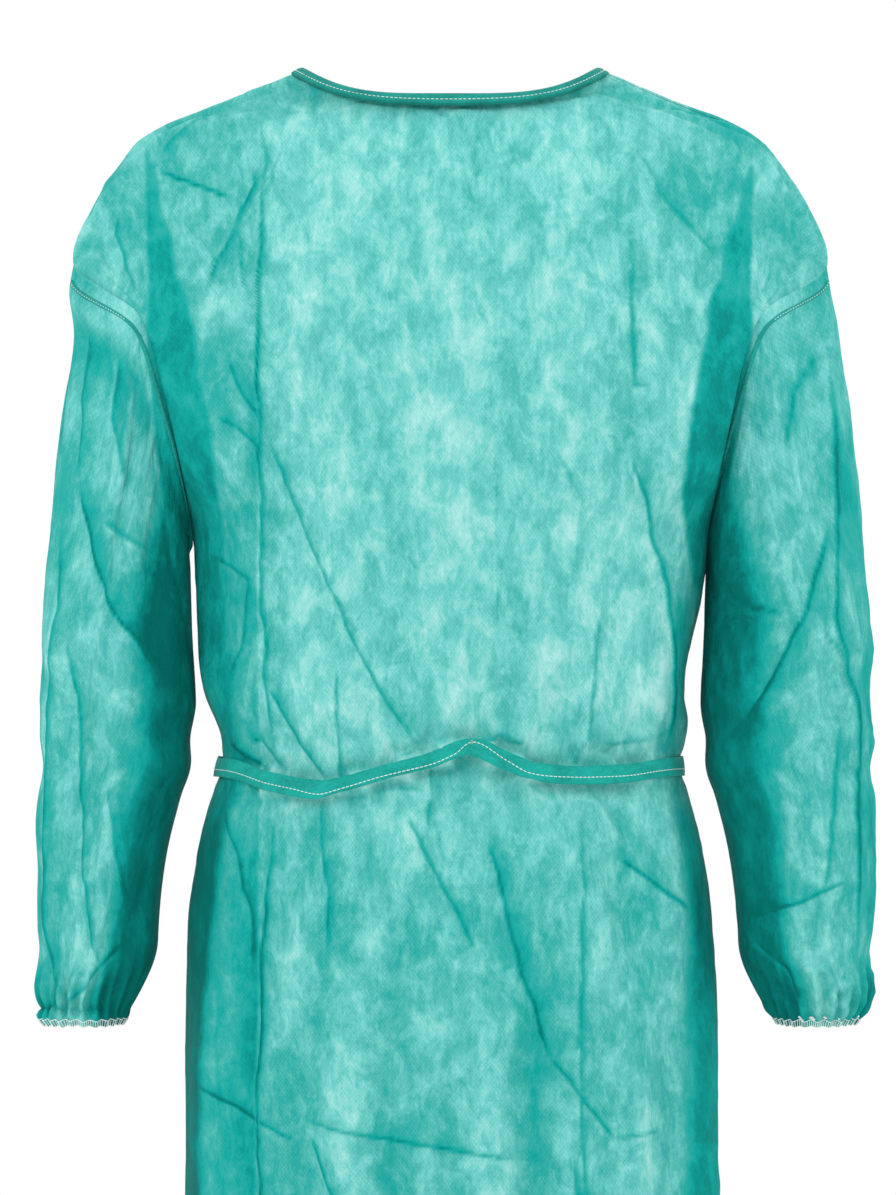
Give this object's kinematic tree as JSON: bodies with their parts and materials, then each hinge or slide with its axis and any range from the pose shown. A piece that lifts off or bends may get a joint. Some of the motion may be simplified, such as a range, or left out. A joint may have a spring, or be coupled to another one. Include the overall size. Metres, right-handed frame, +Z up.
{
  "type": "isolation gown",
  "caption": "Long-sleeved open-back non-woven gown, worn and hanging, with a bound neck, a tacked waist tie and elastic cuffs; the sleeves raise and bend.",
  "frame": {"origin": "midway between the two points where the neck edge crosses the shoulders, where the wearer's shoulders carry the gown", "axes": "+Z up, front faces -Y, +X is the wearer's left"},
  "size_m": [0.6104, 0.2544, 1.1511],
  "materials": {
    "gown_cloth": "matte",
    "trim_cloth": "matte",
    "thread": "matte",
    "elastic": "matte"
  },
  "bodies": {
    "gown_body": {"front_panel": "gown_cloth", "back_panel_left": "gown_cloth", "back_panel_right": "gown_cloth", "shoulder_seam_left": "trim_cloth", "shoulder_seam_right": "trim_cloth", "side_seam_left": "trim_cloth", "side_seam_right": "trim_cloth", "neck_binding": "trim_cloth", "neck_binding_stitch": "thread", "neck_knot": "trim_cloth", "neck_bow_loop_left": "trim_cloth", "neck_bow_loop_right": "trim_cloth", "neck_tie_tail_left": "trim_cloth", "neck_tie_tail_right": "trim_cloth", "waist_tie": "trim_cloth", "waist_tie_stitch": "thread", "waist_tie_tack": "thread", "waist_knot": "trim_cloth", "waist_bow_loop_left": "trim_cloth", "waist_bow_loop_right": "trim_cloth", "waist_tie_tail_left": "trim_cloth", "waist_tie_tail_right": "trim_cloth"},
    "upper_sleeve_left": {"sleeve_upper_left": "gown_cloth", "armhole_seam_left": "trim_cloth", "sleeve_seam_upper_left": "trim_cloth"},
    "lower_sleeve_left": {"sleeve_lower_left": "gown_cloth", "sleeve_seam_lower_left": "trim_cloth", "cuff_elastic_left": "elastic", "cuff_overlock_left": "thread"},
    "upper_sleeve_right": {"sleeve_upper_right": "gown_cloth", "armhole_seam_right": "trim_cloth", "sleeve_seam_upper_right": "trim_cloth"},
    "lower_sleeve_right": {"sleeve_lower_right": "gown_cloth", "sleeve_seam_lower_right": "trim_cloth", "cuff_elastic_right": "elastic", "cuff_overlock_right": "thread"}
  },
  "joints": [
    {"name": "sleeve_raise_left", "type": "hinge", "parent": "gown_body", "child": "upper_sleeve_left", "pos_m": [0.2765, 0, -0.142], "axis": [0, -1, 0], "range_deg": [0, 80]},
    {"name": "elbow_bend_left", "type": "hinge", "parent": "upper_sleeve_left", "child": "lower_sleeve_left", "pos_m": [0.243, -0.0605, -0.41], "axis": [-1, 0, 0], "range_deg": [0, 90]},
    {"name": "sleeve_raise_right", "type": "hinge", "parent": "gown_body", "child": "upper_sleeve_right", "pos_m": [-0.2765, 0, -0.142], "axis": [0, 1, 0], "range_deg": [0, 80]},
    {"name": "elbow_bend_right", "type": "hinge", "parent": "upper_sleeve_right", "child": "lower_sleeve_right", "pos_m": [-0.243, -0.0605, -0.41], "axis": [-1, 0, 0], "range_deg": [0, 90]}
  ]
}
